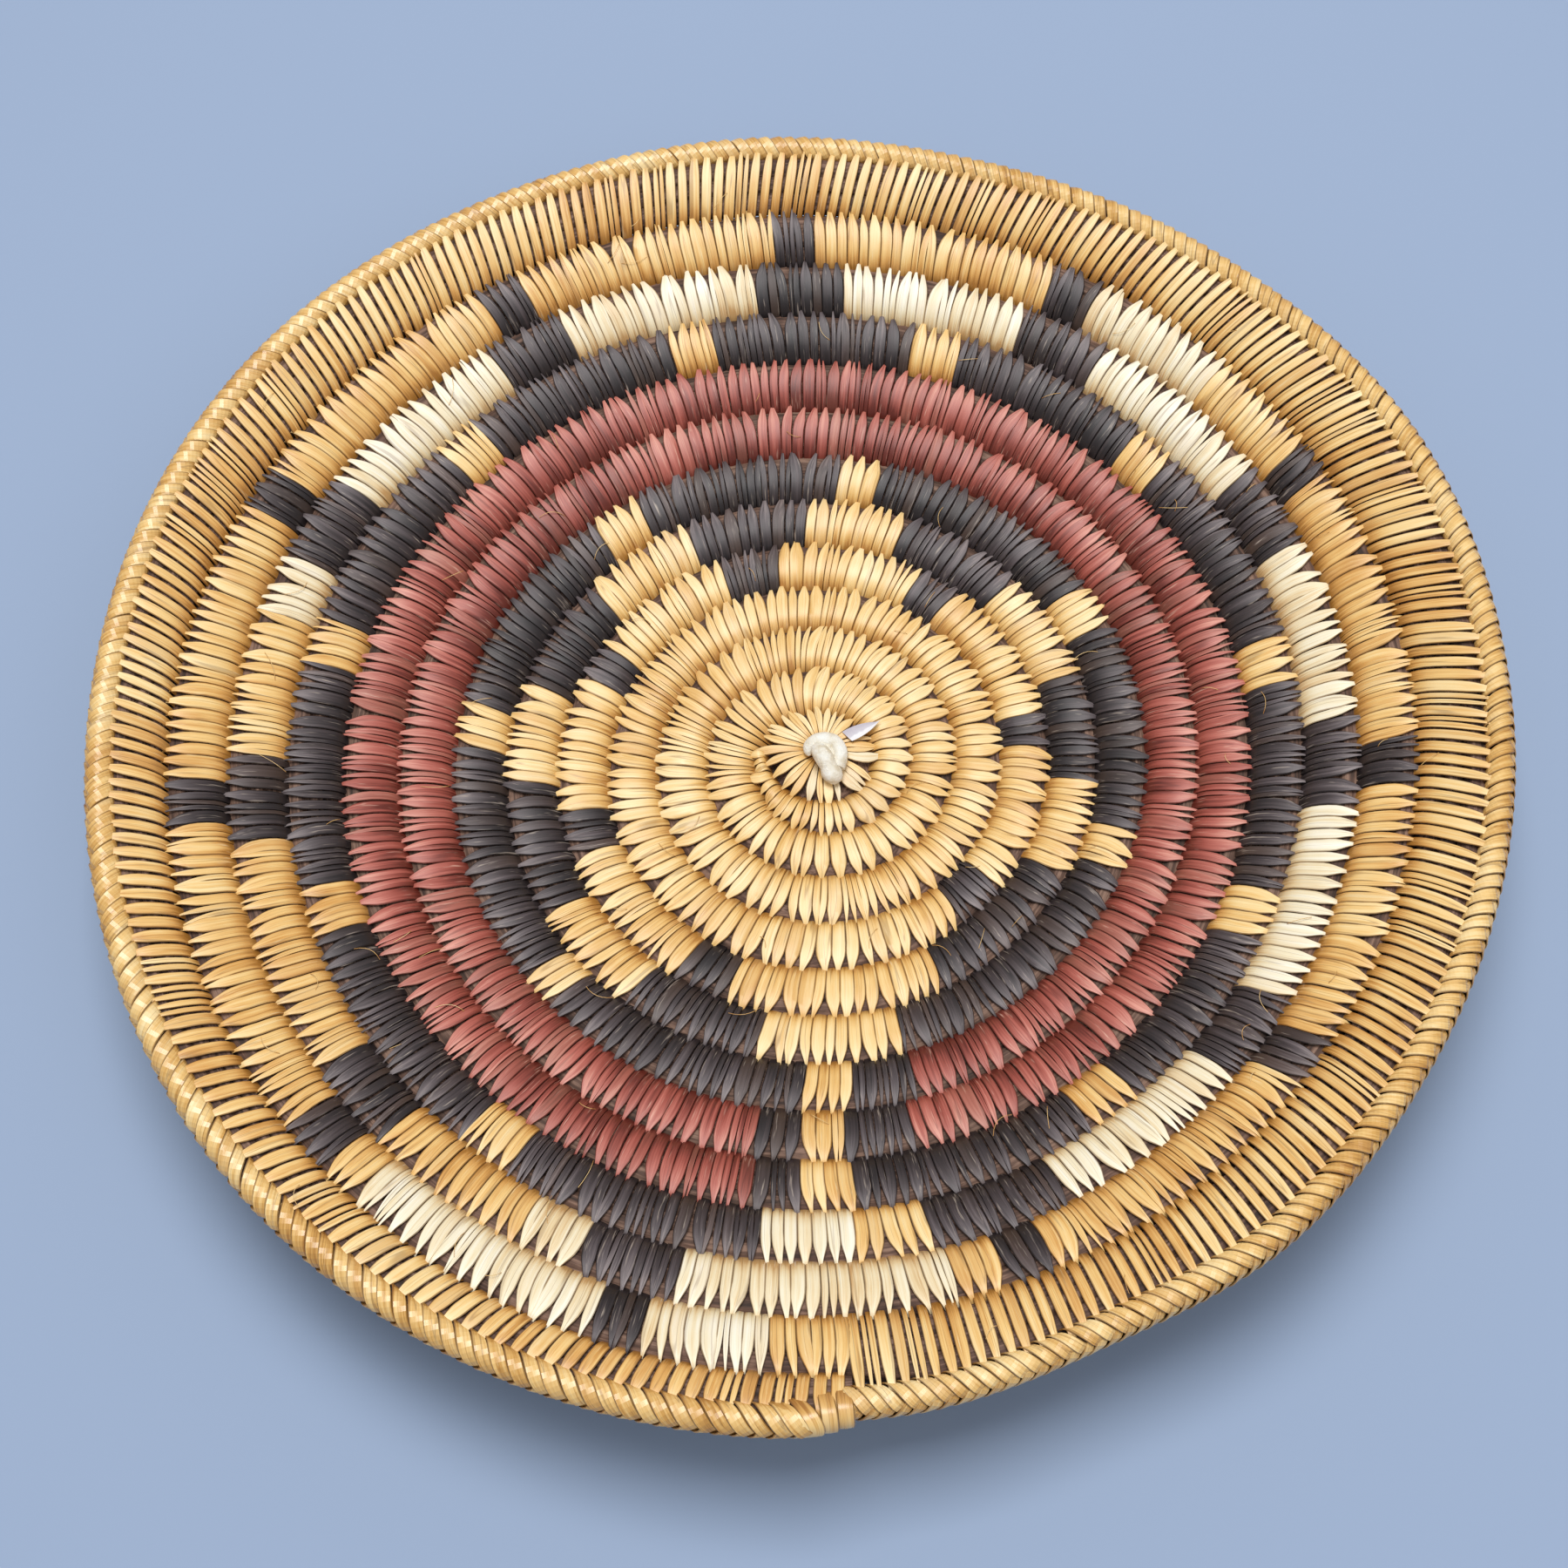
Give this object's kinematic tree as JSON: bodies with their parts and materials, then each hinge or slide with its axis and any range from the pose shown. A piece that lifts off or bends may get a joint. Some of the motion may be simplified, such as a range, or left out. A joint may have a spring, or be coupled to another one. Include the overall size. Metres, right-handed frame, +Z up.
{
  "type": "coiled basket",
  "caption": "Shallow round coiled basket bowl with a braided rim, a stepped star and mountain pattern, a red band cut by a path to the rim, and a knotted string in the middle.",
  "frame": {"origin": "centre of the bounding box at the flat underside that the basket stands on", "axes": "+Z up out of the open bowl, -Y along the path through the pattern towards the viewer, +X to the viewer's right"},
  "size_m": [0.3223, 0.3236, 0.0568],
  "materials": {
    "tan_splint": "satin",
    "golden_splint": "satin",
    "white_splint": "satin",
    "black_splint": "satin",
    "red_splint": "satin",
    "rod_wood": "matte",
    "cotton_string": "matte",
    "pale_scrap": "satin"
  },
  "bodies": {
    "root": {"centre_start": "tan_splint", "turn_01_tan": "tan_splint", "turn_02_tan": "tan_splint", "turn_03_tan": "tan_splint", "turn_04_star": "tan_splint", "turn_05_star": "black_splint", "turn_06_star": "black_splint", "path_inner_tan": "tan_splint", "turn_07_black_right": "black_splint", "turn_07_red": "red_splint", "turn_07_black_left": "black_splint", "path_middle_tan": "tan_splint", "turn_08_black_right": "black_splint", "turn_08_red": "red_splint", "turn_08_black_left": "black_splint", "path_outer_tan": "tan_splint", "turn_09_mountains": "black_splint", "path_inner_white": "white_splint", "turn_10_fields": "white_splint", "path_outer_white": "white_splint", "turn_11_peaks": "golden_splint", "turn_12_golden": "golden_splint", "coil_end_taper": "golden_splint", "rim_braid": "golden_splint", "rim_end_wrap_1": "golden_splint", "rim_end_wrap_2": "golden_splint", "rod_upper": "rod_wood", "rod_lower_outer": "rod_wood", "rod_lower_inner": "rod_wood", "string_knot": "cotton_string", "string_tail": "cotton_string", "pale_flake": "pale_scrap"}
  },
  "joints": []
}
